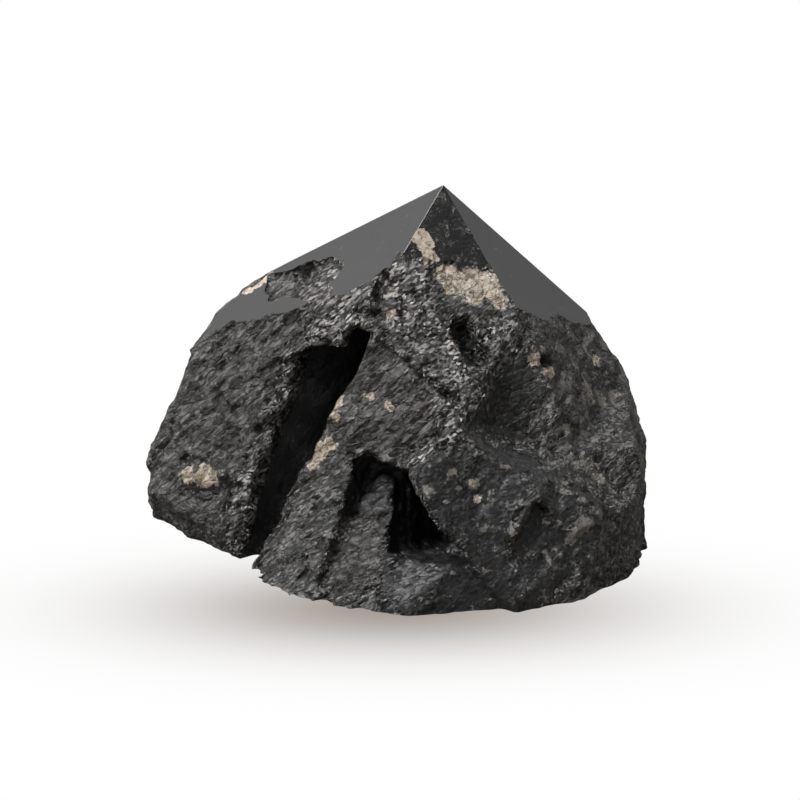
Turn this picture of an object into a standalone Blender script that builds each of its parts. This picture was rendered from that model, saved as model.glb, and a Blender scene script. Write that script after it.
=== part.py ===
"""Black tourmaline point: a rough natural block with a sawn base and a six-sided polished crown.

The rough is noted as a geologist notes an outcrop. Each break face has the compass direction it
looks to, its dip from level, and a point that it passes through. Azimuth 0 looks to the front
(-Y), 90 to the right (+X), and a dip over 90 overhangs. Chunks are bounded by their faces, and
hollows by the walls that the stone shows in them. Their union is roughened with fibres and
chips. The crown and the base are cut last, so the polished faces and the sawn base are flat.
"""

import math

import bmesh
import bpy
from mathutils import Matrix, Vector, noise

MM = 0.001  # the dimensions below are in millimetres, and the model is in metres

# Driving dimensions
APEX = Vector((6.7, 0.0, 58.7))  # its height is the height of the whole point
SAW_DEPTH = 3.0  # stone left over the crown and under the base until the last cut
BLOCK_SIDE = 240.0  # the blank that every chunk is broken from
GRAIN = 0.8  # spacing of the surface points that carry the roughness
KEPT_SHARE = 0.155  # of the triangles, after the flat stretches are thinned out

# Relief of the breaks
SWELL_SIZE, SWELL_HEIGHT = 10.0, 0.9
CHIP_SIZE, CHIP_STRETCH, CHIP_HEIGHT = 3.4, 1.8, 1.2
FIBRE_SIZE, FIBRE_STRETCH, FIBRE_HEIGHT = 1.8, 4.0, 0.6

# The six polished faces, by azimuth and dip, all through the apex
CROWN_FACES = ((-50, 46.5), (4, 58), (62, 50), (120, 44.75), (180, 45), (-115, 30.25))

# The crystal's length, along which it splinters into fibres
FIBRE_AXIS = Vector((-0.42, -0.15, -0.90)).normalized()

# Outer flanks and back of the rough block
FLANKS = (
    (-98, 84, (-41.4, 4.0, 6.0)),
    (-92, 68, (-38.4, 6.0, 17.6)),
    (-80, 52, (-32.8, 8.0, 31.0)),
    (100, 60, (34.0, -2.0, 32.0)),
    (86, 76, (37.2, -2.0, 21.5)),
    (88, 92, (39.2, -5.0, 9.0)),
    (70, 90, (37.9, -12.0, 0.0)),
    (46, 84, (31.0, -22.6, 0.0)),
    (135, 80, (33.0, 22.0, 0.0)),
    (172, 82, (8.0, 30.5, 0.0)),
    (-160, 76, (-14.0, 29.0, 0.0)),
    (-128, 78, (-32.0, 19.0, 0.0)),
)

# The block under the crown
CORE = (
    (-35, 69, (-32.4, 6.1, 31.3)),  # broad face of the left slab
    (-30, 59.3, (0.0, -6.6, 48.9)),  # chipped face left of the front facet
    (4, 60.5, (6.7, -7.5, 46.6)),  # unpolished lower part of the front facet
    (52, 66, (17.7, -10.0, 41.5)),  # right shoulder
    (25, 78, (19.0, -29.8, 0.0)),
    (4, 70, (1.5, -31.9, 0.0)),
    (-46, 118, (-40.7, 2.5, 4.0)),  # undercut along the left of the base
)

# The lower front, which stands forward of the block
APRON = (
    (-49, 53, (-15.4, -25.2, 0.0)),  # left of the dark hollow
    (-21, 58, (1.5, -31.9, 0.0)),
    (12, 69, (12.0, -30.1, 0.0)),
    (0, 25, (-6.0, -14.0, 19.2)),
    (-75, 80, (-24.5, -14.8, 0.0)),
)
CHEEK = (
    (12, 68, (12.0, -30.4, 0.0)),  # dark flecked face
    (27, 79, (19.0, -29.6, 0.0)),
    (-90, 44, (6.9, -18.8, 24.0)),  # the broken edge of the slope runs along this one
    (75, 30, (9.7, -20.7, 24.6)),  # pale ridge
    (-62, 104, (4.6, -25.8, 14.9)),
)

# Hollows, by the walls that the stone shows in them
SLOPE = (
    (-25, 76, (8.5, -17.9, 29.9)),  # fibrous slope
    (-90, 148, (8.5, -17.9, 29.9)),  # lip along the diagonal crack
    (40, 92, (-17.5, -4.0, 28.4)),
)
CHANNEL = (
    (35, 89, (-18.5, -5.0, 28.4)),  # dark striated wall
    (-110, 65, (-12.7, -10.5, 20.4)),  # back of the slope, hidden from the front
    (90, 154, (-5.7, -9.0, 38.0)),  # lip over its top end
)
SCOOP = (
    (33, 84, (8.5, -17.9, 29.9)),  # dark smooth face right of the crest
    (8, 76, (20.0, -12.4, 28.7)),
    (60, 32, (9.7, -20.7, 24.6)),
)
CAVITY = (
    (55, 84, (-8.5, -16.6, 14.4)),  # right side of the apron's left end
    (-30, 150, (-3.0, -15.8, 19.2)),  # under the brow
    (-62, 104, (4.6, -25.8, 14.9)),  # left side of the cheek
    (-10, 80, (0.0, -10.0, 12.0)),  # back wall
    (-25, 40, (-9.6, -20.0, 6.0)),  # floor
)
GULLY = (
    (105, 65, (-0.8, -20.5, 11.0)),  # right side of the hollow's floor
    (-60, 102, (4.8, -25.6, 14.9)),
    (-27, 152, (-3.0, -15.8, 19.0)),
    (-14, 78, (0.0, -13.0, 12.0)),
    (8, 45, (6.0, -26.0, 5.0)),
)
CHEVRON = (
    (40, 128, (12.5, -26.0, 11.5)),  # left arm of the overhang
    (-35, 128, (26.7, -23.5, 10.7)),  # right arm
    (12, 55, (20.0, -19.5, 13.0)),
)
PIT = (
    (26, 9, (-17.5, 3.2, 41.3)),  # rough gap across the left polished face
    (-102, 64, (-12.3, -0.6, 43.0)),
    (-50, 46.5, (-14.4, 5.0, 41.9)),
)


def plane_normal(azimuth, dip):
    """The outward normal of a face that looks to this azimuth and dips this much from level."""
    turn, tilt = math.radians(azimuth), math.radians(dip)
    return Vector(
        (math.sin(tilt) * math.sin(turn), -math.sin(tilt) * math.cos(turn), math.cos(tilt))
    )


def break_along(bm, faces, kept_side=1):
    """Breaks off what lies outside each face, and closes the break."""
    for azimuth, dip, through in faces:
        cut = bmesh.ops.bisect_plane(
            bm,
            geom=bm.verts[:] + bm.edges[:] + bm.faces[:],
            plane_co=Vector(through),
            plane_no=kept_side * plane_normal(azimuth, dip),
            clear_outer=True,
        )
        rim = [e for e in cut["geom_cut"] if isinstance(e, bmesh.types.BMEdge)]
        bmesh.ops.holes_fill(bm, edges=rim)
    bmesh.ops.recalc_face_normals(bm, faces=bm.faces[:])


def chunk(name, faces, kept_side=1):
    """A block broken along each face. With a kept side of -1 it is what fills a hollow."""
    bm = bmesh.new()
    bmesh.ops.create_cube(bm, size=BLOCK_SIDE)
    break_along(bm, faces, kept_side)
    mesh = bpy.data.meshes.new(name)
    bm.to_mesh(mesh)
    bm.free()
    piece = bpy.data.objects.new(name, mesh)
    bpy.context.scene.collection.objects.link(piece)
    return piece


def trim(stone, faces):
    """Breaks the stone itself along each face."""
    bm = bmesh.new()
    bm.from_mesh(stone.data)
    break_along(bm, faces)
    bm.to_mesh(stone.data)
    bm.free()


def apply_modifier(piece, kind, **settings):
    step = piece.modifiers.new(kind.title(), kind)
    for name, value in settings.items():
        setattr(step, name, value)
    graph = bpy.context.evaluated_depsgraph_get()
    graph.update()
    piece.data = bpy.data.meshes.new_from_object(piece.evaluated_get(graph))
    piece.modifiers.clear()


def combine(piece, other, operation):
    """Joins, cuts or intersects the piece with the other one, and removes that."""
    apply_modifier(piece, "BOOLEAN", operation=operation, solver="EXACT", object=other)
    bpy.data.objects.remove(other)


def crown_and_base(saw_depth):
    """The faces of the crown and the base, with this much stone left over them."""
    tip = APEX + Vector((0.0, 0.0, saw_depth))
    crown = [(azimuth, dip, tip) for azimuth, dip in CROWN_FACES]
    return (*crown, (0, 180, (0.0, 0.0, -saw_depth)))


def along_fibres(point, squeeze):
    """The point with its distance along the fibres made shorter, so that a pattern is long."""
    return point - FIBRE_AXIS * point.dot(FIBRE_AXIS) * (1.0 - 1.0 / squeeze)


def relief(point):
    """How far the broken surface stands out or in at a point, in millimetres."""
    swell = SWELL_HEIGHT * noise.noise(point / SWELL_SIZE)
    nearest_chips = noise.voronoi(along_fibres(point, CHIP_STRETCH) / CHIP_SIZE)[1]
    chip = CHIP_HEIGHT * noise.noise(nearest_chips[0] * 1.7)
    fibre = FIBRE_HEIGHT * noise.noise(along_fibres(point, FIBRE_STRETCH) / FIBRE_SIZE)
    return swell + chip + fibre


def roughen(stone):
    """Gives the breaks their chips and fibres, and thins out the triangles."""
    apply_modifier(stone, "REMESH", mode="VOXEL", voxel_size=GRAIN)
    mesh = stone.data
    moves = [vertex.normal * relief(vertex.co) for vertex in mesh.vertices]
    for vertex, move in zip(mesh.vertices, moves):
        vertex.co += move
    mesh.update()
    apply_modifier(stone, "REMESH", mode="VOXEL", voxel_size=GRAIN)
    apply_modifier(stone, "DECIMATE", ratio=KEPT_SHARE)


def keep_largest(stone):
    """Drops crumbs that the last cut has parted from the stone."""
    bm = bmesh.new()
    bm.from_mesh(stone.data)
    unseen = set(bm.verts)
    islands = []
    while unseen:
        island, edge_of_island = set(), [unseen.pop()]
        while edge_of_island:
            vertex = edge_of_island.pop()
            island.add(vertex)
            for edge in vertex.link_edges:
                other = edge.other_vert(vertex)
                if other in unseen:
                    unseen.remove(other)
                    edge_of_island.append(other)
        islands.append(island)
    islands.sort(key=len)
    for island in islands[:-1]:
        bmesh.ops.delete(bm, geom=list(island), context="VERTS")
    bmesh.ops.triangulate(bm, faces=bm.faces[:])
    bm.to_mesh(stone.data)
    bm.free()


def stand_on_origin(stone):
    """Puts the middle of the base's box at the origin, and turns millimetres to metres."""
    xs = [vertex.co.x for vertex in stone.data.vertices]
    ys = [vertex.co.y for vertex in stone.data.vertices]
    zs = [vertex.co.z for vertex in stone.data.vertices]
    middle = Vector(((min(xs) + max(xs)) / 2, (min(ys) + max(ys)) / 2, min(zs)))
    stone.data.transform(Matrix.Scale(MM, 4) @ Matrix.Translation(-middle))


def tourmaline():
    """Black tourmaline: glassy where it is polished, silky on the breaks."""
    stuff = bpy.data.materials.new("black_tourmaline")
    stuff.use_nodes = True
    surface = stuff.node_tree.nodes["Principled BSDF"]
    surface.inputs["Base Color"].default_value = (0.022, 0.022, 0.023, 1.0)
    surface.inputs["Roughness"].default_value = 0.45
    surface.inputs["Metallic"].default_value = 0.0
    stuff.diffuse_color = (0.022, 0.022, 0.023, 1.0)
    return stuff


def build_point():
    for old in list(bpy.data.objects):
        bpy.data.objects.remove(old)
    stone = chunk("tourmaline_point", CORE)
    combine(stone, chunk("slope", SLOPE, -1), "DIFFERENCE")
    for faces in (APRON, CHEEK):
        combine(stone, chunk("lump", faces), "UNION")
    for walls in (CHANNEL, SCOOP, CAVITY, GULLY, CHEVRON, PIT):
        combine(stone, chunk("hollow", walls, -1), "DIFFERENCE")
    trim(stone, (*FLANKS, *crown_and_base(SAW_DEPTH)))
    roughen(stone)
    combine(stone, chunk("cuts", crown_and_base(0.0)), "INTERSECT")
    keep_largest(stone)
    stand_on_origin(stone)
    stone.data.materials.append(tourmaline())
    return stone


build_point()
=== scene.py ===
"""Black tourmaline point: the looks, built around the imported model.

The block is broken along the same faces as the model, each noted by azimuth, dip and a point that
it passes through. Azimuth 0 looks to the front (-Y), 90 to the right (+X), and a dip over 90
overhangs. Each break face has its own finish: chipped, fibrous, striated, smooth or flecked. The
crown and the base are cut flat once the chips are raised, and the finest relief stays under them.
"""

import math

import bmesh
import bpy
import numpy as np
from mathutils import Matrix, Vector, kdtree, noise


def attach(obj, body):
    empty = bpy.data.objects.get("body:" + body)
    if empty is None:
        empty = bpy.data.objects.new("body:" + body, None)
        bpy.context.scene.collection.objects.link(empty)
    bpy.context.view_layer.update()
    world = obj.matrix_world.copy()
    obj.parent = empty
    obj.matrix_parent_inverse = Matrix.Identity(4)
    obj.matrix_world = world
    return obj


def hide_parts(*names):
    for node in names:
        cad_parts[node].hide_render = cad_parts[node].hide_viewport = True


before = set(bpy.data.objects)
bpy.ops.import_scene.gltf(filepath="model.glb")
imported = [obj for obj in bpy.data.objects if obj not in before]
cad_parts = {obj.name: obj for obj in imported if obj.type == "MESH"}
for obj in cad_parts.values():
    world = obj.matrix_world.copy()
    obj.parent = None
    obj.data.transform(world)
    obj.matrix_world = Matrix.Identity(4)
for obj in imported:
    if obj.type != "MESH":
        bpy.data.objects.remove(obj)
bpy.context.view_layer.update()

MM = 0.001  # the stone is described in millimetres, and the scene is in metres
TOURMALINE_IOR = 1.63

# The block and its cuts
APEX = Vector((6.7, 0.0, 58.7))
SAW_DEPTH = 3.0  # stone left over the crown and under the base until they are cut
BLOCK_SIDE = 240.0  # of the cube that each chunk is broken from
COARSE_GRAIN = 0.5  # spacing of the surface points that carry the chips
FINE_GRAIN = 0.37  # spacing of the surface points of the finished stone
KEPT_SHARE = 0.68  # of the triangles, after the smoother stretches are thinned out
EDGE_WEAR = 0.012  # how much is worn off the polished ridges
UNDER_POLISH = 0.03  # how far the breaks stay under the planes of the cuts
BELOW_POLISH = 0.08  # how far chips are held below the polish, on faces broken lower than it

# The six polished faces, by azimuth and dip, all through the apex
FRONT_FACET = (4, 58)
CROWN_FACES = ((-50, 46.5), FRONT_FACET, (62, 50), (120, 44.75), (180, 45), (-115, 30.25))

# The material of each kind of surface, as its place in the list of materials
BROKEN, SATIN, MOTTLED, SAWN = range(4)

# Relief that the whole stone has
SWELL_SIZE, SWELL_HEIGHT = 10.0, 0.9
CHIP_SIZE, CHIP_STRETCH, CHIP_HEIGHT = 3.4, 1.8, 1.2
FIBRE_SIZE, FIBRE_STRETCH, FIBRE_HEIGHT = 1.8, 4.0, 0.6

# Finer relief, scaled by the finish of each break face
SPLINTER_SIZE, SPLINTER_STRETCH = 1.8, 2.0
SPLINTER_HEIGHT, SPLINTER_TILT = 0.6, 1.1
# Unless this seed is set, the clock sets it and the splinters tilt another way on each run.
# A new seed needs a check that the stone is still closed: 7 left 600 open edges.
SPLINTER_SEED = 2
THREAD_SIZE, THREAD_STRETCH, THREAD_HEIGHT = 0.8, 6.0, 0.4
GRIT_SIZE, GRIT_HEIGHT = 0.75, 0.3
FINER_GRIT, FINER_GRIT_SHARE = 1.9, 0.7  # times as fine, and its share of the height

STEEP = Vector((-0.42, -0.15, -0.90)).normalized()  # the crystal's length
SLANT = Vector((-0.72, 0.2, -0.66)).normalized()  # splinters that lean off it

# Outer flanks and back of the rough block
FLANKS = (
    (-107, 39.5, (-32.2, 8.1, 33.5)),
    (-98, 84, (-41.4, 4.0, 6.0)),
    (-92, 68, (-38.4, 6.0, 17.6)),
    (-80, 52, (-32.8, 8.0, 31.0)),
    (100, 60, (34.0, -2.0, 32.0)),
    (86, 76, (37.2, -2.0, 21.5)),
    (88, 92, (39.2, -5.0, 9.0)),
    (70, 90, (37.9, -12.0, 0.0)),
    (46, 84, (31.0, -22.6, 0.0)),
    (135, 80, (33.0, 22.0, 0.0)),
    (172, 82, (8.0, 30.5, 0.0)),
    (-160, 76, (-14.0, 29.0, 0.0)),
    (-128, 78, (-32.0, 19.0, 0.0)),
)
SLAB_FACE = (-35, 69, (-32.4, 6.1, 31.3))
CHIPPED_FACE = (-30, 59.3, (0.0, -6.6, 48.9))
GLITTERING_FACE = (4, 60.5, (6.7, -7.5, 46.6))
SHOULDER = (52, 66, (17.7, -10.0, 41.5))
RIGHT_FACE = (25, 78, (19.0, -29.8, 0.0))
CORE = (
    SLAB_FACE,
    CHIPPED_FACE,
    GLITTERING_FACE,
    SHOULDER,
    RIGHT_FACE,
    (4, 70, (1.5, -31.9, 0.0)),
    (-46, 118, (-40.7, 2.5, 4.0)),  # overhang under the slab
)
APRON_LEFT = (-49, 53, (-15.4, -25.2, 0.0))
APRON_FRONT = (-21, 58, (1.5, -31.9, 0.0))
APRON = (
    APRON_LEFT,
    APRON_FRONT,
    (10, 68, (0.5, -31.7, 0.0)),
    (0, 25, (-6.0, -14.0, 19.2)),
    (-75, 80, (-24.5, -14.8, 0.0)),
)
CHEEK_FACE = (12, 68, (12.0, -30.4, 0.0))
PALE_RIDGE = (75, 30, (9.7, -20.7, 24.6))
CHEEK = (
    CHEEK_FACE,
    (27, 79, (19.0, -29.6, 0.0)),
    (-90, 44, (6.9, -18.8, 24.0)),
    PALE_RIDGE,
    (-62, 104, (4.6, -25.8, 14.9)),
)

# Hollows, by the walls that the stone shows in them
SLOPE_FACE = (-25, 76, (8.5, -17.9, 29.9))
SLOPE = (SLOPE_FACE, (-90, 148, (8.5, -17.9, 29.9)), (40, 92, (-17.5, -4.0, 28.4)))
CHANNEL_WALL = (35, 89, (-18.5, -5.0, 28.4))
CHANNEL = (
    CHANNEL_WALL,
    (-110, 65, (-12.7, -10.5, 20.4)),
    (90, 154, (-5.7, -9.0, 38.0)),
)
SMOOTH_FACE = (33, 84, (8.5, -17.9, 29.9))
SCOOP = (SMOOTH_FACE, (8, 76, (20.0, -12.4, 28.7)), (60, 32, (9.7, -20.7, 24.6)))
CHEEK_UNDERCUT = (-104.5, 130.5, (4.0, -25.9, 15.0))
CAVITY_FLOOR = (-25, 40, (-9.6, -20.0, 6.0))
CAVITY_BACK = (-10, 80, (0.0, -10.0, 12.0))
CAVITY = (
    (55, 84, (-8.5, -16.6, 14.4)),
    (-30, 150, (-3.0, -15.8, 19.2)),
    CHEEK_UNDERCUT,
    CAVITY_BACK,
    CAVITY_FLOOR,
)
BROW = (-27, 152, (-3.0, -15.8, 19.0))
POCKET_WALL = (62, 68, (-1.6, -16.5, 12.0))
POCKET_FLOOR = (150, 12, (4.0, -25.5, 6.2))
POCKET = (
    POCKET_WALL,
    POCKET_FLOOR,
    CHEEK_UNDERCUT,
    BROW,
    (0, 90, (0.0, -9.5, 0.0)),
)
GULLY_WALL = (105, 65, (-0.8, -20.5, 11.0))
GULLY_FRONT = (10, 66, (7.0, -28.6, 4.0))
GULLY = (GULLY_WALL, GULLY_FRONT, CHEEK_UNDERCUT, BROW, (-14, 78, (0.0, -13.0, 12.0)))
CHEVRON_FLOOR = (12, 62, (20.0, -23.3, 13.0))
CHEVRON = (
    (68, 105, (19.8, -25.4, 16.9)),
    (-78, 136, (19.8, -25.4, 16.9)),
    CHEVRON_FLOOR,
)

# What each finish does to the surface, as shares of the full relief and of the full colour
# The seventh column is painted shade: it darkens a finish and dulls its gloss and calms its bump, most in
# the hollows, on the cheek, in the channel and low on the front, where shade falls
CHIPS, SPLINTERS, THREADS, SLANTING, GRIT, SILVER, PAINTED_SHADE, FLECKS, STRIPES, CRUST = range(10)
FINISHES = {
    "plain": (0.6, 0.3, 0.4, 0.0, 0.3, 0.35, 0.1, 0.5, 0.0, 0.3),
    "slab": (1.0, 0.7, 0.5, 1.0, 0.12, 0.52, 0.0, 0.1, 0.0, 0.2),
    "chipped": (1.0, 0.9, 0.3, 0.3, 0.3, 1.2, 0.0, 0.75, 0.0, 0.75),
    "glittering": (0.45, 0.8, 0.4, 0.3, 0.35, 1.3, 0.0, 0.15, 0.0, 1.0),
    "jagged": (1.0, 1.9, 0.2, 0.3, 0.6, 1.0, 0.0, 0.1, 0.0, 0.9),
    "blotchy": (0.45, 0.3, 0.2, 0.0, 0.25, 0.3, 0.1, 1.0, 0.0, 0.2),
    "striated": (0.1, 0.0, 0.0, 0.0, 0.05, 0.0, 0.3, 0.1, 1.0, 0.0),
    "fibrous": (0.4, 0.25, 0.9, 1.0, 0.12, 0.6, 0.0, 0.35, 0.0, 0.2),
    "smooth": (0.15, 0.1, 0.15, 0.0, 0.12, 0.1, 0.2, 0.35, 0.0, 0.1),
    # the cheek face, painted dark all over as shade
    "flecked": (0.25, 0.15, 0.15, 0.0, 0.12, 0.05, 1.0, 0.85, 0.0, 0.1),
    "sparkly": (0.9, 0.8, 0.7, 0.8, 0.25, 0.18, 0.6, 0.3, 0.0, 0.5),
    # painted shade, for the walls of the hollows and the holes
    "painted_shade_hollow": (1.0, 0.7, 0.5, 0.5, 0.15, 0.0, 1.0, 0.05, 0.0, 0.0),
    "feldspar": (0.1, 0.1, 0.0, 0.0, 0.08, 0.1, 0.0, 0.0, 0.0, 0.05),
    # painted shade, low on the front and on the chevron's floor
    "shaded": (0.25, 0.15, 0.2, 0.0, 0.12, 0.0, 0.95, 0.5, 0.0, 0.0),
}

# The columns that the material of the breaks reads, by the name of their attribute
PAINTED = {"silver": SILVER, "painted_shade": PAINTED_SHADE, "flecks": FLECKS, "stripes": STRIPES, "crust": CRUST}

# Where each finish lies: the break face, the middle of the area and how far it reaches
ANY_FACE = None
OVER_OTHERS = 4.0  # the weight of a finish that lies over those of the faces
AREA_FADE = 3.0  # over how much a finish fades at the rim of its area
OFF_FACE_FADE = 1.2  # over how much it fades away from its break face
PLAIN_WEIGHT = 0.03  # of the plain finish, which shows where no other lies
AREAS = (
    ("slab", SLAB_FACE, (-30.0, -3.0, 17.0), 24.0),
    ("chipped", CHIPPED_FACE, (-6.0, -8.0, 42.0), 13.0),
    ("glittering", GLITTERING_FACE, (8.0, -12.0, 38.0), 14.0),
    ("blotchy", SHOULDER, (27.0, -9.0, 28.0), 21.0),
    ("blotchy", RIGHT_FACE, (28.0, -20.0, 12.0), 17.0),
    ("striated", CHANNEL_WALL, (-19.0, -6.0, 18.0), 30.0),
    ("fibrous", SLOPE_FACE, (-3.0, -14.0, 25.0), 16.0),
    ("smooth", SMOOTH_FACE, (13.0, -15.0, 30.0), 13.0),
    ("flecked", CHEEK_FACE, (13.0, -25.0, 14.0), 17.0),
    ("sparkly", APRON_LEFT, (-16.0, -17.0, 9.0), 16.0),
    ("sparkly", APRON_FRONT, (-3.0, -26.0, 5.0), 13.0),
    # Painted shade: the walls of the gully, cavity and pocket and the low front are painted dark
    ("painted_shade_hollow", GULLY_WALL, (3.0, -20.0, 8.0), 10.0),
    ("painted_shade_hollow", CAVITY_BACK, (0.0, -12.0, 14.0), 10.0),
    ("fibrous", CAVITY_FLOOR, (-6.0, -19.0, 8.0), 9.0),
    ("painted_shade_hollow", POCKET_WALL, (-2.0, -18.0, 10.0), 12.0),
    ("painted_shade_hollow", POCKET_FLOOR, (3.0, -20.0, 8.0), 12.0),
    ("shaded", GULLY_FRONT, (8.0, -29.0, 3.0), 10.0),
    ("shaded", CHEVRON_FLOOR, (20.0, -24.0, 9.0), 14.0),
    ("shaded", ANY_FACE, (12.0, -29.0, 2.0), 6.0),
    ("shaded", ANY_FACE, (3.5, -29.0, 4.0), 6.0),
    ("painted_shade_hollow", ANY_FACE, (-4.5, -13.5, 13.5), 4.0),
    ("feldspar", ANY_FACE, (9.5, -8.0, 45.4), 4.5),
    ("feldspar", ANY_FACE, (13.0, -8.5, 44.6), 4.5),
    ("feldspar", ANY_FACE, (-31.5, -3.8, 11.5), 2.5),
)

# Crests where the break is crisp and glitters: start, end and reach
CRESTS = (
    ((-6.2, -8.6, 39.5), (-12.8, -5.5, 36.5), 1.6),
    ((-12.8, -5.5, 36.5), (-15.8, -3.9, 32.7), 1.8),
    ((-15.8, -3.9, 32.7), (-24.4, -8.9, 11.3), 1.8),
    ((-24.4, -8.9, 11.3), (-26.5, -10.0, 4.0), 2.0),
    ((8.6, -16.6, 28.7), (6.8, -20.4, 24.7), 1.6),
    ((6.8, -20.4, 24.7), (0.8, -18.1, 18.7), 1.6),
)

# Lumps and holes along a line: start, end, radius, and height out of the surface
SCARS = (
    ((9.5, -11.7, 38.9), (12.2, -13.7, 35.0), 1.5, -3.4),  # black hole in the glittering face
    ((-3.9, -8.6, 42.8), (-2.6, -7.2, 46.4), 0.8, -1.6),
    ((-6.2, -8.9, 40.7), (-3.2, -9.9, 40.7), 0.8, -1.6),
    ((-34.4, -2.0, 10.7), (-28.6, -5.4, 12.2), 1.8, 1.0),  # cream lump on the slab
    ((-31.8, -8.1, 2.1), (-31.4, -8.1, 2.1), 1.1, 0.6),
    ((-35.7, 0.3, 14.1), (-31.4, -2.4, 14.7), 0.9, 0.7),  # branching ridge above the lump
    ((-31.4, -2.4, 14.7), (-27.1, -6.3, 12.7), 0.9, 0.8),
    ((-27.1, -6.3, 12.7), (-21.8, -10.1, 12.6), 0.8, 0.7),
    ((22.0, -10.2, 33.6), (22.8, -9.8, 33.0), 1.0, -1.8),
    ((-1.2, -14.8, 35.6), (8.8, -18.0, 29.6), 0.75, -2.0),  # crack along the top of the slope
)

# Rough gaps in the polish: the polished face, start, end, radius, and depth under the polish
GAPS = (
    (CROWN_FACES[0], (-20.0, 5.0, 40.8), (-11.5, 1.0, 44.8), 2.7, 0.7),
    (CROWN_FACES[0], (-15.5, 2.0, 42.6), (-13.2, -1.6, 41.8), 2.4, 0.6),
    (CROWN_FACES[0], (-15.9, 4.3, 43.4), (-15.2, 3.7, 43.4), 1.5, 2.4),
)

# Feldspar grown into the stone: centres and radii
FELDSPAR = (
    ((3.0, -4.6, 51.6), 1.35),  # tan strip high on the front facet
    ((3.8, -5.3, 50.4), 1.3),
    ((4.5, -6.2, 49.0), 1.3),
    ((7.4, -7.6, 46.5), 1.9),  # cracked patch below it
    ((8.4, -8.6, 44.8), 1.7),
    ((10.8, -7.9, 45.5), 2.2),
    ((11.3, -9.1, 43.8), 1.8),
    ((13.5, -8.1, 45.0), 2.0),
    ((15.2, -9.1, 42.9), 1.5),
    ((-33.9, -2.3, 10.9), 1.7),  # lump on the slab
    ((-31.5, -3.8, 11.5), 1.9),
    ((-29.2, -5.1, 12.0), 1.5),
    ((-31.6, -8.1, 2.1), 0.9),
    ((20.8, -11.5, 33.9), 1.2),  # cluster on the shoulder
    ((22.9, -10.5, 31.8), 1.3),
    ((21.5, -9.6, 35.0), 0.8),
    ((31.0, -1.0, 30.3), 0.9),
    ((-1.5, -8.8, 44.4), 0.8),  # spots on the chipped face
    ((-1.8, -10.7, 41.3), 0.8),
    ((-4.6, -12.2, 28.5), 0.8),  # spots on the slope
    ((-1.5, -13.9, 27.4), 0.9),
    ((-9.7, -10.4, 26.8), 1.2),  # slivers beside the channel
    ((-10.2, -11.5, 24.8), 1.0),
    ((-10.9, -11.8, 20.0), 1.2),
    ((-12.4, -11.0, 18.8), 1.6),
    ((-13.7, -11.4, 16.9), 1.3),
    ((10.6, -23.2, 18.1), 0.75),  # spots on the cheek
    ((11.8, -23.9, 15.8), 0.8),
    ((3.6, -28.0, 10.1), 0.8),
)

# Feldspar along the left rim of the polished face
RIM_FELDSPAR = (
    ((-21.1, 7.6, 41.2), 1.2),
    ((-22.8, 8.5, 40.4), 1.4),
    ((-24.5, 9.0, 39.2), 1.4),
    ((-26.6, 9.6, 38.0), 1.2),
    ((-28.6, 9.9, 36.6), 0.9),
    ((-30.4, 9.8, 35.0), 1.0),
)

# Pale grey marks on the right side, between feldspar and tourmaline
PALE_MARKS = (
    ((26.2, -24.2, 9.3), 1.1),
    ((27.3, -23.5, 10.3), 1.0),
    ((28.6, -22.7, 11.4), 1.1),
    ((31.1, -21.3, 12.2), 1.0),
    ((22.4, -25.0, 13.0), 1.2),
    ((29.9, -20.2, 19.2), 1.1),
    ((29.5, -20.9, 16.0), 1.0),
    ((30.0, -5.5, 27.5), 1.1),
    ((31.5, -4.5, 24.5), 1.2),
    ((26.0, -13.0, 23.0), 1.0),
    ((34.0, -9.0, 18.5), 1.1),
    ((34.5, -15.5, 9.5), 1.0),
)

# Sizes in millimetres of the marks in the materials, and how many times as long they are
TORN_FIBRE, TORN_STRETCH, TORN_PATCH = 0.7, 7.0, 3.0
GLOSSY_CHIP, GLOSSY_STRETCH = 1.5, 2.2
FLAKE, FLAKE_STRETCH, FLAKE_RIDGE = 0.36, 3.0, 1.2
PALE_BLOT, PALE_SPECK, PIT = 2.2, 0.55, 0.9
GROOVE, GROOVE_STRETCH = 0.7, 40.0
CLOUD, DASH, DASH_STRETCH = 6.0, 0.8, 5.0
BLACK_PATCH, WISP = 1.8, 1.1
SATIN_TOOTH, MOTTLED_TOOTH = 0.3, 0.4
SAW_LINE, SAW_STRETCH = 0.6, 30.0
STAIN, THIN_PLACE = 1.1, 0.7
RAGGED_EDGE, RAGGED_PUSH = 1.4, 1.5
FAR_OFF = 9.0  # more than any spot reaches, in radii

# Sockets of a Mix node for colours
SHARE, UNDER, OVER, MIXED = 0, 6, 7, 2

# Soft shadow painted on the paper, in millimetres: middle, spread, and how deep it is
SHADES = (
    ((0.0, -28.4, 0.0), (26.0, 11.0, 1.0), 0.85),
    ((2.0, 22.0, 0.0), (14.0, 10.0, 1.0), 0.85),
)

PAPER_REACH = 6.0  # half its side, in metres
PAPER_GAP = 0.00003  # how far it lies under the sawn base, in metres

# Camera, as the photograph was taken, in metres
CAMERA_DISTANCE = 0.357
CAMERA_ELEVATION = math.radians(20.0)
LOOKED_AT = Vector((0.0005, 0.0, 0.0232))
LENS, SENSOR = 100.0, 36.0

# Room
CEILING = Vector((-0.15, 0.45, 0.88))  # where it is brightest: up, and behind the stone
DIM, BRIGHT = 0.12, 0.75
LIT_PLACE = Vector((0.0, 0.0, 0.03))  # the middle of the stone, which the lights face


def plane_normal(azimuth, dip):
    """The outward normal of a face that looks to this azimuth and dips this much from level."""
    turn, tilt = math.radians(azimuth), math.radians(dip)
    return Vector(
        (math.sin(tilt) * math.sin(turn), -math.sin(tilt) * math.cos(turn), math.cos(tilt))
    )


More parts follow.
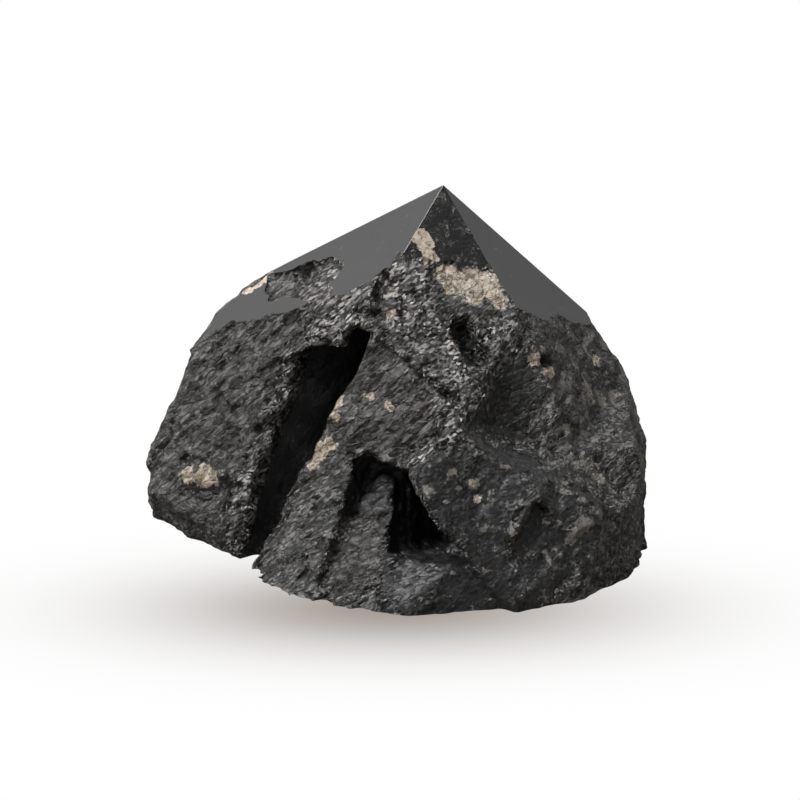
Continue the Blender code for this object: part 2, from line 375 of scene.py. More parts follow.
def break_along(bm, faces, kept_side=1):
    """Breaks off what lies outside each face, and closes the break."""
    for azimuth, dip, through in faces:
        cut = bmesh.ops.bisect_plane(
            bm,
            geom=bm.verts[:] + bm.edges[:] + bm.faces[:],
            plane_co=Vector(through),
            plane_no=kept_side * plane_normal(azimuth, dip),
            clear_outer=True,
        )
        rim = [e for e in cut["geom_cut"] if isinstance(e, bmesh.types.BMEdge)]
        bmesh.ops.holes_fill(bm, edges=rim)
    bmesh.ops.recalc_face_normals(bm, faces=bm.faces[:])


def chunk(name, faces, kept_side=1):
    """A block broken along each face. With a kept side of -1 it is what fills a hollow."""
    bm = bmesh.new()
    bmesh.ops.create_cube(bm, size=BLOCK_SIDE)
    break_along(bm, faces, kept_side)
    mesh = bpy.data.meshes.new(name)
    bm.to_mesh(mesh)
    bm.free()
    piece = bpy.data.objects.new(name, mesh)
    bpy.context.scene.collection.objects.link(piece)
    return piece


def trim(stone, faces):
    """Breaks the stone itself along each face."""
    bm = bmesh.new()
    bm.from_mesh(stone.data)
    break_along(bm, faces)
    bm.to_mesh(stone.data)
    bm.free()


def apply_modifier(piece, kind, **settings):
    """Gives the piece a modifier with these settings, and makes its result the piece's mesh."""
    step = piece.modifiers.new(kind.title(), kind)
    for name, value in settings.items():
        setattr(step, name, value)
    graph = bpy.context.evaluated_depsgraph_get()
    graph.update()
    piece.data = bpy.data.meshes.new_from_object(piece.evaluated_get(graph))
    piece.modifiers.clear()


def combine(piece, other, operation):
    """Joins the other piece to this one, or cuts it out of it, and removes it."""
    apply_modifier(piece, "BOOLEAN", operation=operation, solver="EXACT", object=other)
    bpy.data.objects.remove(other)


def crown_and_base(saw_depth):
    """The faces of the crown and the base, with this much stone left over them."""
    tip = APEX + Vector((0.0, 0.0, saw_depth))
    crown = [(azimuth, dip, tip) for azimuth, dip in CROWN_FACES]
    return (*crown, (0, 180, (0.0, 0.0, -saw_depth)))


def as_rows(items, field):
    """This field of all the items, as rows of x, y and z."""
    values = np.empty(len(items) * 3)
    items.foreach_get(field, values)
    return values.reshape(-1, 3)


def points_of(mesh):
    """The places of the mesh's vertices."""
    return as_rows(mesh.vertices, "co")


def normals_of(mesh):
    """The outward directions of the mesh's vertices."""
    return as_rows(mesh.vertex_normals, "vector")


def noise_at(points, size):
    """Smooth noise from -1 to 1 at each point, with waves of this size."""
    return np.array([noise.noise(Vector(point) / size) for point in points])


def move_points(mesh, points):
    """Puts the mesh's vertices at the points."""
    mesh.vertices.foreach_set("co", points.astype(np.float32).ravel())
    mesh.update()


def finish_shares(points, normals):
    """For each point, how far it has each finish. The shares of a point add up to one."""
    names = list(FINISHES)
    shares = np.zeros((len(points), len(names)))
    for name, break_face, middle, reach in AREAS:
        from_middle = np.linalg.norm(points - middle, axis=1)
        share = np.clip((reach - from_middle) / AREA_FADE + 0.5, 0.0, 1.0)
        if break_face is ANY_FACE:
            share *= OVER_OTHERS
        else:
            azimuth, dip, through = break_face
            face = np.array(plane_normal(azimuth, dip))
            off_face = np.abs((points - through) @ face)
            facing = normals @ face
            share *= np.clip(1.6 - off_face / OFF_FACE_FADE, 0.0, 1.0)
            share *= np.clip(facing * 3.0 - 1.6, 0.0, 1.0)
        column = names.index(name)
        shares[:, column] = np.maximum(shares[:, column], share)
    for start, end, reach in CRESTS:
        near = np.clip(1.5 - from_line(points, start, end) / reach, 0.0, 1.0)
        shares[:, names.index("jagged")] += OVER_OTHERS * near
    shares[:, names.index("plain")] += PLAIN_WEIGHT
    return shares / shares.sum(axis=1, keepdims=True)


def carried_over(values, old_points, new_points):
    """The values of the nearest old points, for the new ones."""
    tree = kdtree.KDTree(len(old_points))
    for index, point in enumerate(old_points):
        tree.insert(point, index)
    tree.balance()
    nearest = [tree.find(point)[1] for point in new_points]
    return values[nearest]


def from_line(points, start, end):
    """Each point's distance from the line between start and end."""
    start, end = np.array(start), np.array(end)
    along = end - start
    share = np.clip((points - start) @ along / (along @ along), 0.0, 1.0)
    return np.linalg.norm(points - start - share[:, None] * along, axis=1)


def drawn_out(point, axis, stretch):
    """The point with its distance along the axis made shorter, so that a pattern is long."""
    return point - axis * point.dot(axis) * (1.0 - 1.0 / stretch)


def broad_relief(point, chips):
    """Swells, chips and fibres of the whole stone, in millimetres."""
    swell = SWELL_HEIGHT * noise.noise(point / SWELL_SIZE)
    middle = noise.voronoi(drawn_out(point, STEEP, CHIP_STRETCH) / CHIP_SIZE)[1][0]
    chip = CHIP_HEIGHT * noise.noise(middle * 1.7)
    fibre = FIBRE_HEIGHT * noise.noise(drawn_out(point, STEEP, FIBRE_STRETCH) / FIBRE_SIZE)
    return swell + chips * (chip + fibre)


def splinters(point):
    """Small broken steps, each tilted its own way."""
    squeezed = drawn_out(point, SLANT, SPLINTER_STRETCH)
    middle = noise.voronoi(squeezed / SPLINTER_SIZE)[1][0]
    tilt = (squeezed - middle * SPLINTER_SIZE).dot(noise.noise_vector(middle * 3.1))
    return SPLINTER_HEIGHT * (noise.noise(middle * 2.3) + SPLINTER_TILT * tilt)


def threads(point, slant):
    """Fine fibres, along the crystal's length or slanting off it."""
    steep = noise.noise(drawn_out(point, STEEP, THREAD_STRETCH) / THREAD_SIZE)
    leaning = noise.noise(drawn_out(point, SLANT, THREAD_STRETCH) / THREAD_SIZE)
    return THREAD_HEIGHT * (steep * (1.0 - slant) + leaning * slant)


def grit(point):
    """Grains, and finer ones that only stand out."""
    grain = noise.noise(point / GRIT_SIZE)
    finer_grain = abs(noise.noise(point / GRIT_SIZE * FINER_GRIT))
    return GRIT_HEIGHT * (grain + FINER_GRIT_SHARE * finer_grain)


def raise_scars(points, normals, painted_shade):
    """Raises lumps and sinks holes, with ragged edges, and paints shade into the holes."""
    ragged = noise_at(points, 0.9)
    rim = 0.7  # the share of the radius over which a scar rises
    places = points.copy()
    for start, end, radius, height in SCARS:
        away = from_line(places, start, end) / radius
        inside = np.clip(1.35 - away - 0.3 * ragged, 0.0, rim) / rim
        points += normals * (height * inside)[:, None]
        # holes are painted dark as shade
        if height < 0.0:
            painted_shade[:] = np.maximum(painted_shade, inside)


def hold_below_polish(points, whole):
    """Turns chips down where the whole face lies below the polish and they would reach it."""
    ragged = noise_at(points, 2.5)
    for azimuth, dip, through in crown_and_base(0.0)[:-1]:
        normal = np.array(plane_normal(azimuth, dip))
        over = (points - np.array(through)) @ normal + BELOW_POLISH
        lower = (whole - np.array(through)) @ normal < 0.12 * ragged
        points -= (1.6 * np.clip(over, 0.0, None) * lower)[:, None] * normal


def open_gaps(points):
    """Rough floors under the polish, where the stone was broken deeper than it was ground."""
    ragged = noise_at(points, 1.4)
    bumpy = noise_at(points, 0.8)
    for (azimuth, dip), start, end, radius, depth in GAPS:
        normal = np.array(plane_normal(azimuth, dip))
        height = (points - np.array(APEX)) @ normal
        on_face = points - height[:, None] * normal
        away = from_line(on_face, start, end) / radius + 0.45 * ragged
        sunk = np.clip((1.15 - away) / 0.2, 0.0, 1.0) * (height > -depth)
        floor = -depth * (1.0 + 0.6 * bumpy)
        points -= ((height - floor) * sunk)[:, None] * normal


def broken_block():
    """The block, broken along its faces, with its hollows."""
    stone = chunk("tourmaline_stone", CORE)
    combine(stone, chunk("slope", SLOPE, -1), "DIFFERENCE")
    for faces in (APRON, CHEEK):
        combine(stone, chunk("lump", faces), "UNION")
    for walls in (CHANNEL, SCOOP, CAVITY, POCKET, GULLY, CHEVRON):
        combine(stone, chunk("hollow", walls, -1), "DIFFERENCE")
    trim(stone, (*FLANKS, *crown_and_base(SAW_DEPTH)))
    return stone


def break_relief(stone):
    """Gives each break face its chips and splinters. Returns the points and their finishes."""
    table = np.array(list(FINISHES.values()))
    apply_modifier(stone, "REMESH", mode="VOXEL", voxel_size=COARSE_GRAIN)
    points, normals = points_of(stone.data), normals_of(stone.data)
    amounts = finish_shares(points, normals) @ table
    heights = []
    for place, amount in zip(points, amounts):
        point = Vector(place)
        height = broad_relief(point, amount[CHIPS]) + amount[SPLINTERS] * splinters(point)
        heights.append(height)
    whole = points.copy()
    points += normals * np.array(heights)[:, None]
    hold_below_polish(points, whole)
    raise_scars(points, normals, amounts[:, PAINTED_SHADE])
    open_gaps(points)
    move_points(stone.data, points)
    apply_modifier(stone, "REMESH", mode="VOXEL", voxel_size=FINE_GRAIN)
    apply_modifier(stone, "DECIMATE", ratio=KEPT_SHARE)
    return points, amounts


def fine_relief(mesh, amounts):
    """Threads and grit on the breaks, kept just under the polish."""
    points, normals = points_of(mesh), normals_of(mesh)
    broken = np.ones(len(points), bool)
    for face in mesh.polygons:
        if face.material_index != BROKEN:
            broken[list(face.vertices)] = False
    heights = np.zeros(len(points))
    for index in np.flatnonzero(broken):
        point = Vector(points[index])
        amount = amounts[index]
        fibre = amount[THREADS] * threads(point, amount[SLANTING])
        heights[index] = fibre + amount[GRIT] * grit(point)
    points += normals * heights[:, None]
    for azimuth, dip, through in crown_and_base(0.0):
        normal = np.array(plane_normal(azimuth, dip))
        over = np.clip((points - np.array(through)) @ normal + UNDER_POLISH, 0.0, None) * broken
        points -= over[:, None] * normal
    move_points(mesh, points)


def paint(mesh, amounts):
    """Keeps what the material needs of each point's finish with the mesh."""
    for name, column in PAINTED.items():
        layer = mesh.attributes.new(name, "FLOAT", "POINT")
        layer.data.foreach_set("value", amounts[:, column].astype(np.float32))


def worn_ridges():
    """Narrow faces along the ridges of the crown, where the polish has rounded them."""
    normals = [plane_normal(azimuth, dip) for azimuth, dip in sorted(CROWN_FACES)]
    worn = []
    for first, second in zip(normals, normals[1:] + normals[:1]):
        between_them = (first + second).normalized()
        azimuth = math.degrees(math.atan2(between_them.x, -between_them.y))
        dip = math.degrees(math.acos(between_them.z))
        worn.append((azimuth, dip, APEX - EDGE_WEAR * between_them))
    return worn


def grind_flat(bm, azimuth, dip, through, material_index):
    """Cuts along the face and closes the cut, leaving open the gaps that reach below it."""
    normal = plane_normal(azimuth, dip)
    cut = bmesh.ops.bisect_plane(
        bm,
        geom=bm.verts[:] + bm.edges[:] + bm.faces[:],
        plane_co=Vector(through),
        plane_no=normal,
        clear_outer=True,
    )
    rim = [e for e in cut["geom_cut"] if isinstance(e, bmesh.types.BMEdge) and e.is_boundary]
    filled = bmesh.ops.triangle_fill(bm, edges=rim, normal=normal, use_beauty=True)
    for face in filled["geom"]:
        if isinstance(face, bmesh.types.BMFace):
            face.material_index = material_index
            if face.normal.dot(normal) < 0.0:
                face.normal_flip()


def drop_crumbs(bm):
    """Drops what the cuts have parted from the stone."""
    unseen = set(bm.verts)
    parts = []
    while unseen:
        part, front = set(), [unseen.pop()]
        while front:
            vertex = front.pop()
            part.add(vertex)
            for edge in vertex.link_edges:
                other = edge.other_vert(vertex)
                if other in unseen:
                    unseen.remove(other)
                    front.append(other)
        parts.append(part)
    parts.sort(key=len)
    for part in parts[:-1]:
        bmesh.ops.delete(bm, geom=list(part), context="VERTS")


def cut_and_polish(stone):
    """Saws the base and grinds the crown. Every face of the mesh is a flat facet."""
    bm = bmesh.new()
    bm.from_mesh(stone.data)
    *crown, base = crown_and_base(0.0)
    grind_flat(bm, *base, SAWN)
    for face in crown:
        grind_flat(bm, *face, MOTTLED if face[:2] == FRONT_FACET else SATIN)
    for ridge in worn_ridges():
        grind_flat(bm, *ridge, SATIN)
    drop_crumbs(bm)
    for face in bm.faces:
        face.smooth = False
    bm.to_mesh(stone.data)
    bm.free()


def hex_colour(code):
    """An sRGB hex colour as linear red, green, blue and alpha."""
    channels = [int(code[place : place + 2], 16) / 255 for place in (1, 3, 5)]
    linear = [c / 12.92 if c <= 0.04045 else ((c + 0.055) / 1.055) ** 2.4 for c in channels]
    return (*linear, 1.0)


def add(tree, kind, inputs=(), output=0, **settings):
    """Adds a node with its settings and links. Its inputs are sockets, hex colours or numbers."""
    node = tree.nodes.new("ShaderNode" + kind)
    for name, value in settings.items():
        setattr(node, name, value)
    named = inputs.items() if isinstance(inputs, dict) else enumerate(inputs)
    for name, value in named:
        if isinstance(value, bpy.types.NodeSocket):
            tree.links.new(value, node.inputs[name])
        elif isinstance(value, str):
            node.inputs[name].default_value = hex_colour(value)
        else:
            node.inputs[name].default_value = value
    return node.outputs[output]


def new_material(name, roughness):
    """A material of tourmaline, with its node tree and its shader."""
    material = bpy.data.materials.new(name)
    material.use_nodes = True
    surface = material.node_tree.nodes["Principled BSDF"]
    surface.inputs["IOR"].default_value = TOURMALINE_IOR
    surface.inputs["Roughness"].default_value = roughness
    return material, material.node_tree, surface


def millimetres(tree):
    """Places on the stone in millimetres."""
    place = add(tree, "TexCoord", output="Object")
    return add(tree, "VectorMath", {0: place, "Scale": 1 / MM}, operation="SCALE")


def drawn_out_along(tree, place, axis, stretch):
    """The place turned to the axis, and shortened along it, so that a pattern is long."""
    turn = Vector((0.0, 0.0, 1.0)).rotation_difference(axis).to_euler()
    inputs = {"Vector": place, "Rotation": turn, "Scale": (1.0, 1.0, stretch)}
    return add(tree, "Mapping", inputs, vector_type="TEXTURE")


def pushed_about(tree, place, size, amount):
    """The place moved to and fro, so that a pattern on it turns ragged."""
    inputs = {"Vector": place, "Scale": 1 / size, "Detail": 5.0, "Roughness": 0.6}
    push = add(tree, "TexNoise", inputs, "Color")
    moved = add(tree, "VectorMath", (push, (2 * amount,) * 3, place), operation="MULTIPLY_ADD")
    return add(tree, "VectorMath", (moved, (amount,) * 3), operation="SUBTRACT")


def crystal_facets(tree, place, size):
    """Small flat facets, each tilted its own way: their height in millimetres, and their tone."""
    inputs = {"Vector": place, "Scale": 1 / size}
    middle = add(tree, "TexVoronoi", inputs, "Position")
    own = add(tree, "TexVoronoi", inputs, "Color")
    scaled = add(tree, "VectorMath", {0: place, "Scale": 1 / size}, operation="SCALE")
    offset = add(tree, "VectorMath", (scaled, middle), operation="SUBTRACT")
    lean = add(tree, "VectorMath", (own, (0.5, 0.5, 0.5)), operation="SUBTRACT")
    rise = add(tree, "VectorMath", (offset, lean), "Value", operation="DOT_PRODUCT")
    tone = add(tree, "SeparateColor", (own,), "Green")
    return add(tree, "Math", (rise, size), operation="MULTIPLY"), tone


def feldspar_share(tree, place, shift, spots):
    """1 on the feldspar spots and 0 off them, with ragged edges."""
    ragged = pushed_about(tree, place, RAGGED_EDGE, RAGGED_PUSH)
    nearest = FAR_OFF
    for centre, radius in spots:
        inputs = (ragged, Vector(centre) + shift)
        away = add(tree, "VectorMath", inputs, "Value", operation="DISTANCE")
        away = add(tree, "Math", (away, radius), operation="DIVIDE")
        nearest = add(tree, "Math", (away, nearest), operation="MINIMUM")
    return add(tree, "MapRange", (nearest, 1.06, 0.94))


def feldspar_colour(tree, place):
    """Feldspar, pinkish cream, with yellow-brown stain in its cracks and grey where it is thin."""
    inputs = {"Vector": place, "Scale": 1 / STAIN, "Detail": 5.0, "Roughness": 0.7}
    stain = add(tree, "TexNoise", inputs)
    stain = add(tree, "MapRange", (stain, 0.45, 0.62))
    cream = add(tree, "Mix", {SHARE: stain, UNDER: "#c4b5a6", OVER: "#9f9278"}, MIXED, data_type="RGBA")
    inputs = {"Vector": place, "Scale": 1 / THIN_PLACE, "Detail": 4.0, "Roughness": 0.7}
    inputs["Distortion"] = 0.8
    grey = add(tree, "TexNoise", inputs)
    grey = add(tree, "MapRange", (grey, 0.5, 0.62))
    return add(tree, "Mix", {SHARE: grey, UNDER: cream, OVER: "#5d5a57"}, MIXED, data_type="RGBA")


def broken_tourmaline(shift):
    """Black tourmaline, broken. It is matte grey where fibres are torn, black and glassy where it
    parted cleanly, and glitters where it is crushed to a crust, with glints painted pale on its
    flakes and highlights painted on their edges. Painted shade darkens its hollows. Specks of
    feldspar lie in it."""
    material, tree, surface = new_material("tourmaline_broken", 0.55)
    place = millimetres(tree)
    silver, painted_shade, flecks, stripes, crust = (
        add(tree, "Attribute", output="Fac", attribute_name=name) for name in PAINTED
    )

    # Torn fibres, in patches
    fibre_place = drawn_out_along(tree, place, SLANT, TORN_STRETCH)
    inputs = {"Vector": fibre_place, "Scale": 1 / TORN_FIBRE, "Detail": 5.0, "Roughness": 0.65}
    fibres = add(tree, "TexNoise", inputs)
    inputs = {"Vector": place, "Scale": 1 / TORN_PATCH, "Detail": 6.0, "Roughness": 0.65}
    patches = add(tree, "TexNoise", inputs)
    torn = add(tree, "Math", (fibres, patches), operation="ADD")
    torn = add(tree, "MapRange", (torn, 0.78, 1.22))
    torn = add(tree, "Math", (torn, silver), operation="MULTIPLY")
    colour = add(tree, "Mix", {SHARE: torn, UNDER: "#141313", OVER: "#524e49"}, MIXED, data_type="RGBA")

    # Chips, some duller, with painted shade in the cracks between them
    chip_place = drawn_out_along(tree, place, SLANT, GLOSSY_STRETCH)
    chip_place = pushed_about(tree, chip_place, GLOSSY_CHIP, 0.5)
    chip_rise, chip_tone = crystal_facets(tree, chip_place, GLOSSY_CHIP)
    dull = add(tree, "MapRange", (chip_tone, 0.5, 0.1, 0.0, 0.5))
    colour = add(tree, "Mix", {SHARE: dull, UNDER: colour, OVER: "#121112"}, MIXED, data_type="RGBA")
    inputs = {"Vector": chip_place, "Scale": 1 / GLOSSY_CHIP}
    seam = add(tree, "TexVoronoi", inputs, feature="DISTANCE_TO_EDGE")
    seam = add(tree, "MapRange", (seam, 0.07, 0.01, 0.0, 0.75))
    colour = add(tree, "Mix", {SHARE: seam, UNDER: colour, OVER: "#090909"}, MIXED, data_type="RGBA")

    # Crust of long flakes, some painted pale as glints and in clusters, and some black
    flake_place = drawn_out_along(tree, place, SLANT, FLAKE_STRETCH)
    rise, tone = crystal_facets(tree, flake_place, FLAKE)
    bright = add(tree, "MapRange", (tone, 0.52, 0.8))
    clusters = add(tree, "MapRange", (patches, 0.38, 0.54, 0.3, 1.0))
    bright = add(tree, "Math", (bright, clusters), operation="MULTIPLY")
    bright = add(tree, "Math", (bright, crust), operation="MULTIPLY")
    colour = add(tree, "Mix", {SHARE: bright, UNDER: colour, OVER: "#bebbb7"}, MIXED, data_type="RGBA")
    black = add(tree, "MapRange", (tone, 0.34, 0.22))
    black = add(tree, "Math", (black, crust), operation="MULTIPLY")
    colour = add(tree, "Mix", {SHARE: black, UNDER: colour, OVER: "#0c0c0c"}, MIXED, data_type="RGBA")

    # Silvery edges of flakes, painted pale as highlights, and painted shade over all of it
    inputs = {"Vector": flake_place, "Scale": 1 / FLAKE_RIDGE, "Detail": 6.0, "Roughness": 0.62}
    ridges = add(tree, "TexNoise", inputs, noise_type="RIDGED_MULTIFRACTAL")
    edge = add(tree, "Math", (tone, 0.45), operation="ADD")
    edge = add(tree, "Math", (edge, ridges), operation="MULTIPLY")
    edge = add(tree, "Math", (silver, 0.5, edge), operation="MULTIPLY_ADD")
    edge = add(tree, "MapRange", (edge, 1.02, 1.3))
    colour = add(tree, "Mix", {SHARE: edge, UNDER: colour, OVER: "#8b8986"}, MIXED, data_type="RGBA")
    painted_shade_share = add(tree, "Math", (painted_shade, 0.85), operation="MULTIPLY")
    colour = add(tree, "Mix", {SHARE: painted_shade_share, UNDER: colour, OVER: "#080808"}, MIXED, data_type="RGBA")

    # Pale flecks, more of them where the finish has more, and spots of feldspar
    inputs = {"Vector": place, "Scale": 1 / PALE_BLOT, "Detail": 4.0, "Roughness": 0.55}
    inputs["Distortion"] = 0.3
    blot = add(tree, "TexNoise", inputs)
    inputs = {"Vector": place, "Scale": 1 / PALE_SPECK, "Detail": 2.0, "Roughness": 0.5}
    speck = add(tree, "TexNoise", inputs)
    speck = add(tree, "MapRange", (speck, 0.3, 0.9, -0.06, 0.06))
    blot = add(tree, "Math", (blot, speck), operation="ADD")
    blot = add(tree, "Math", (flecks, 0.2, blot), operation="MULTIPLY_ADD")
    blot = add(tree, "MapRange", (blot, 0.725, 0.775))
    marks = feldspar_share(tree, place, shift, PALE_MARKS)
    blot = add(tree, "Math", (blot, marks), operation="MAXIMUM")
    colour = add(tree, "Mix", {SHARE: blot, UNDER: colour, OVER: "#746f68"}, MIXED, data_type="RGBA")
    feldspar = feldspar_share(tree, place, shift, FELDSPAR)
    inputs = {SHARE: feldspar, UNDER: colour, OVER: feldspar_colour(tree, place)}
    colour = add(tree, "Mix", inputs, MIXED, data_type="RGBA")
    tree.links.new(colour, surface.inputs["Base Color"])

    # Glossy flakes and chips, duller under the painted shade
    shine = add(tree, "Math", (crust, 0.55), operation="ADD")
    shine = add(tree, "Math", (shine, tone), operation="MULTIPLY")
    rough = add(tree, "MapRange", (shine, 0.0, 1.1, 0.42, 0.14))
    rough = add(tree, "Math", (dull, 0.35, rough), operation="MULTIPLY_ADD")
    rough = add(tree, "Math", (painted_shade, 0.15, rough), operation="MULTIPLY_ADD")
    tree.links.new(rough, surface.inputs["Roughness"])

    # Relief too fine for the mesh: flakes, chips, fibres, pits and grooves
    sharpness = add(tree, "MapRange", (crust, 0.0, 1.0, 0.3, 2.0))
    flakes = add(tree, "Math", (rise, sharpness), operation="MULTIPLY")
    chips = add(tree, "Math", (seam, -0.2, chip_rise), operation="MULTIPLY_ADD")
    chip_share = add(tree, "MapRange", (painted_shade, 0.0, 0.9, 0.8, 0.1))
    chips = add(tree, "Math", (chips, chip_share), operation="MULTIPLY")
    height = add(tree, "Math", (flakes, chips), operation="ADD")
    lines = add(tree, "Math", (fibres, silver), operation="MULTIPLY")
    height = add(tree, "Math", (lines, 0.25, height), operation="MULTIPLY_ADD")
    inputs = {"Vector": place, "Scale": 1 / PIT, "Detail": 6.0, "Roughness": 0.7}
    pits = add(tree, "TexNoise", inputs)
    pit_share = add(tree, "MapRange", (painted_shade, 0.0, 1.0, 0.35, 0.08))
    height = add(tree, "Math", (pits, pit_share, height), operation="MULTIPLY_ADD")
    length = drawn_out_along(tree, place, STEEP, GROOVE_STRETCH)
    inputs = {"Vector": length, "Scale": 1 / GROOVE, "Detail": 5.0, "Roughness": 0.7}
    grooves = add(tree, "TexNoise", inputs)
    grooves = add(tree, "Math", (grooves, stripes), operation="MULTIPLY")
    height = add(tree, "Math", (grooves, 0.5, height), operation="MULTIPLY_ADD")
    bump = add(tree, "Bump", {"Height": height, "Distance": MM, "Strength": 1.0})
    tree.links.new(bump, surface.inputs["Normal"])
    return material


def satin_tourmaline(shift):
    """Black tourmaline, ground and satin polished: even dark grey with faint pale dashes."""
    material, tree, surface = new_material("tourmaline_satin_polished", 0.29)
    place = millimetres(tree)
    inputs = {"Vector": place, "Scale": 1 / CLOUD, "Detail": 5.0, "Roughness": 0.6}
    cloudy = add(tree, "TexNoise", inputs)
    cloudy = add(tree, "MapRange", (cloudy, 0.35, 0.7))
    colour = add(tree, "Mix", {SHARE: cloudy, UNDER: "#151515", OVER: "#1c1c1c"}, MIXED, data_type="RGBA")
    along = drawn_out_along(tree, place, STEEP, DASH_STRETCH)
    inputs = {"Vector": along, "Scale": 1 / DASH, "Detail": 2.0, "Roughness": 0.5}
    dashes = add(tree, "TexNoise", inputs)
    dashes = add(tree, "MapRange", (dashes, 0.68, 0.8, 0.0, 0.5))
    colour = add(tree, "Mix", {SHARE: dashes, UNDER: colour, OVER: "#6d6b68"}, MIXED, data_type="RGBA")
    rim = feldspar_share(tree, place, shift, RIM_FELDSPAR)
    inputs = {SHARE: rim, UNDER: colour, OVER: feldspar_colour(tree, place)}
    colour = add(tree, "Mix", inputs, MIXED, data_type="RGBA")
    tree.links.new(colour, surface.inputs["Base Color"])
    inputs = {"Vector": place, "Scale": 1 / SATIN_TOOTH, "Detail": 3.0, "Roughness": 0.6}
    tooth = add(tree, "TexNoise", inputs)
    bump = add(tree, "Bump", {"Height": tooth, "Distance": 0.02 * MM})
    tree.links.new(bump, surface.inputs["Normal"])
    return material


def mottled_tourmaline(shift):
    """Black tourmaline, polished across its fibres: black, with wisps of silver where fibres
    break through the polish, and feldspar cut flush with it."""
    material, tree, surface = new_material("tourmaline_mottled_polished", 0.26)
    place = millimetres(tree)
    inputs = {"Vector": place, "Scale": 1 / BLACK_PATCH, "Detail": 6.0, "Roughness": 0.72}
    patches = add(tree, "TexNoise", inputs)
    patches = add(tree, "MapRange", (patches, 0.48, 0.66))
    colour = add(tree, "Mix", {SHARE: patches, UNDER: "#080808", OVER: "#201f1f"}, MIXED, data_type="RGBA")
    inputs = {"Vector": place, "Scale": 1 / WISP, "Detail": 5.0, "Roughness": 0.7}
    inputs["Distortion"] = 1.5
    wisps = add(tree, "TexNoise", inputs)
    wisps = add(tree, "MapRange", (wisps, 0.5, 0.62))
    wisps = add(tree, "Math", (wisps, patches), operation="MULTIPLY")
    colour = add(tree, "Mix", {SHARE: wisps, UNDER: colour, OVER: "#7f7d7a"}, MIXED, data_type="RGBA")
    feldspar = feldspar_share(tree, place, shift, FELDSPAR)
    inputs = {SHARE: feldspar, UNDER: colour, OVER: feldspar_colour(tree, place)}
    colour = add(tree, "Mix", inputs, MIXED, data_type="RGBA")
    tree.links.new(colour, surface.inputs["Base Color"])
    inputs = {"Vector": place, "Scale": 1 / MOTTLED_TOOTH, "Detail": 4.0, "Roughness": 0.6}
    tooth = add(tree, "TexNoise", inputs)
    bump = add(tree, "Bump", {"Height": tooth, "Distance": 0.08 * MM})
    tree.links.new(bump, surface.inputs["Normal"])
    return material


def sawn_tourmaline():
    """Black tourmaline, sawn: dull dark grey with the fine parallel lines of the saw."""
    material, tree, surface = new_material("tourmaline_sawn", 0.55)
    along = drawn_out_along(tree, millimetres(tree), Vector((1.0, 0.0, 0.0)), SAW_STRETCH)
    inputs = {"Vector": along, "Scale": 1 / SAW_LINE, "Detail": 3.0, "Roughness": 0.6}
    lines = add(tree, "TexNoise", inputs)
    share = add(tree, "MapRange", (lines, 0.3, 0.7))
    colour = add(tree, "Mix", {SHARE: share, UNDER: "#242424", OVER: "#333231"}, MIXED, data_type="RGBA")
    tree.links.new(colour, surface.inputs["Base Color"])
    bump = add(tree, "Bump", {"Height": lines, "Distance": 0.05 * MM})
    tree.links.new(bump, surface.inputs["Normal"])
    return material


def build_stone():
    """The finished stone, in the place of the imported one."""
    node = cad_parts["tourmaline_point"]
    top = max((vertex.co for vertex in node.data.vertices), key=lambda place: place.z)
    shift = top / MM - APEX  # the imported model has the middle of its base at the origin
    materials = (
        broken_tourmaline(shift),
        satin_tourmaline(shift),
        mottled_tourmaline(shift),
        sawn_tourmaline(),
    )
    noise.seed_set(SPLINTER_SEED)
    stone = broken_block()
    points, amounts = break_relief(stone)
    for material in materials:
        stone.data.materials.append(material)
    cut_and_polish(stone)
    amounts = carried_over(amounts, points, points_of(stone.data))
    fine_relief(stone.data, amounts)
    paint(stone.data, amounts)
    stone.data.transform(Matrix.Scale(MM, 4) @ Matrix.Translation(shift))
    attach(stone, "root")
    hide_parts("tourmaline_point")


def paper():
    """White paper, matte, with a soft warm shadow painted on it around the stone."""
    material = bpy.data.materials.new("white_paper")
    material.use_nodes = True
    tree = material.node_tree
    place = millimetres(tree)
    shade = 0.0
    for centre, spread, depth in SHADES:
        inputs = {"Vector": place, "Location": centre, "Scale": spread}
        oval = add(tree, "Mapping", inputs, vector_type="TEXTURE")
        square = add(tree, "VectorMath", (oval, oval), "Value", operation="DOT_PRODUCT")
        fall = add(tree, "Math", (square, -0.5), operation="MULTIPLY")
        blot = add(tree, "Math", (fall,), operation="EXPONENT")
        inputs = (blot, depth, shade)
        shade = add(tree, "Math", inputs, operation="MULTIPLY_ADD", use_clamp=True)
    colour = add(tree, "Mix", {SHARE: shade, UNDER: "#ffffff", OVER: "#8c7d72"}, MIXED, data_type="RGBA")
    seen = add(tree, "Emission", {"Color": colour, "Strength": 1.0})
    bounced = add(tree, "BsdfDiffuse", {"Color": "#6c6864"})
    camera_ray = add(tree, "LightPath", output="Is Camera Ray")
    mix = add(tree, "MixShader", (camera_ray, bounced, seen))
    tree.nodes.remove(tree.nodes["Principled BSDF"])
    tree.links.new(mix, tree.nodes["Material Output"].inputs["Surface"])
    return material


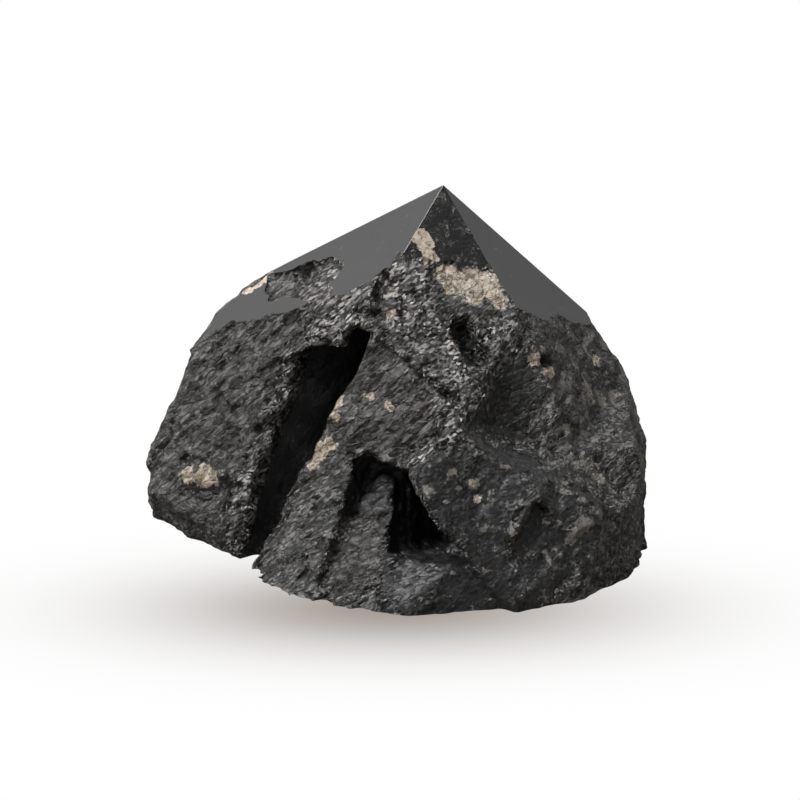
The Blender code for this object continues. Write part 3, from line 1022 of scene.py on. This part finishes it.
def lay_floor():
    """A wide sheet of the paper under the stone."""
    bm = bmesh.new()
    bmesh.ops.create_grid(bm, x_segments=2, y_segments=2, size=PAPER_REACH)
    bmesh.ops.translate(bm, verts=bm.verts, vec=(0.0, 0.0, -PAPER_GAP))
    mesh = bpy.data.meshes.new("floor")
    bm.to_mesh(mesh)
    bm.free()
    floor = bpy.data.objects.new("floor", mesh)
    bpy.context.scene.collection.objects.link(floor)
    mesh.materials.append(paper())


def softbox(name, azimuth, elevation, distance, size, power):
    """A square soft light, aimed at the middle of the stone."""
    light = bpy.data.lights.new(name, "AREA")
    light.size = size
    light.energy = power
    lamp = bpy.data.objects.new(name, light)
    bpy.context.scene.collection.objects.link(lamp)
    towards = plane_normal(azimuth, 90 - elevation)
    lamp.location = LIT_PLACE + towards * distance
    lamp.rotation_mode = "QUATERNION"
    lamp.rotation_quaternion = (-towards).to_track_quat("-Z", "Y")


def light_room():
    """A dim room with a bright ceiling, and three soft lights."""
    world = bpy.data.worlds.new("room")
    world.use_nodes = True
    tree = world.node_tree
    background = tree.nodes["Background"]
    background.inputs["Color"].default_value = (1.0, 1.0, 1.0, 1.0)
    direction = add(tree, "TexCoord", output="Generated")
    upward = add(tree, "VectorMath", (direction, CEILING), "Value", operation="DOT_PRODUCT")
    strength = add(tree, "MapRange", (upward, 0.0, 1.0, DIM, BRIGHT))
    tree.links.new(strength, background.inputs["Strength"])
    bpy.context.scene.world = world
    softbox("key_light", azimuth=-68, elevation=52, distance=0.7, size=0.30, power=6.1)
    softbox("left_light", azimuth=-108, elevation=30, distance=0.8, size=0.5, power=0.7)
    softbox("right_light", azimuth=105, elevation=32, distance=0.8, size=0.6, power=1.0)


def place_camera():
    """The camera in front of the stone, looking down at it a little."""
    forward = Vector((0.0, math.cos(CAMERA_ELEVATION), -math.sin(CAMERA_ELEVATION)))
    camera = bpy.data.objects.new("camera", bpy.data.cameras.new("camera"))
    bpy.context.scene.collection.objects.link(camera)
    camera.data.lens = LENS
    camera.data.sensor_width = SENSOR
    camera.data.clip_start = 0.01
    camera.location = LOOKED_AT - forward * CAMERA_DISTANCE
    camera.rotation_mode = "QUATERNION"
    camera.rotation_quaternion = forward.to_track_quat("-Z", "Y")
    bpy.context.scene.camera = camera


build_stone()
lay_floor()
light_room()
place_camera()
bpy.context.scene.view_settings.view_transform = "Standard"
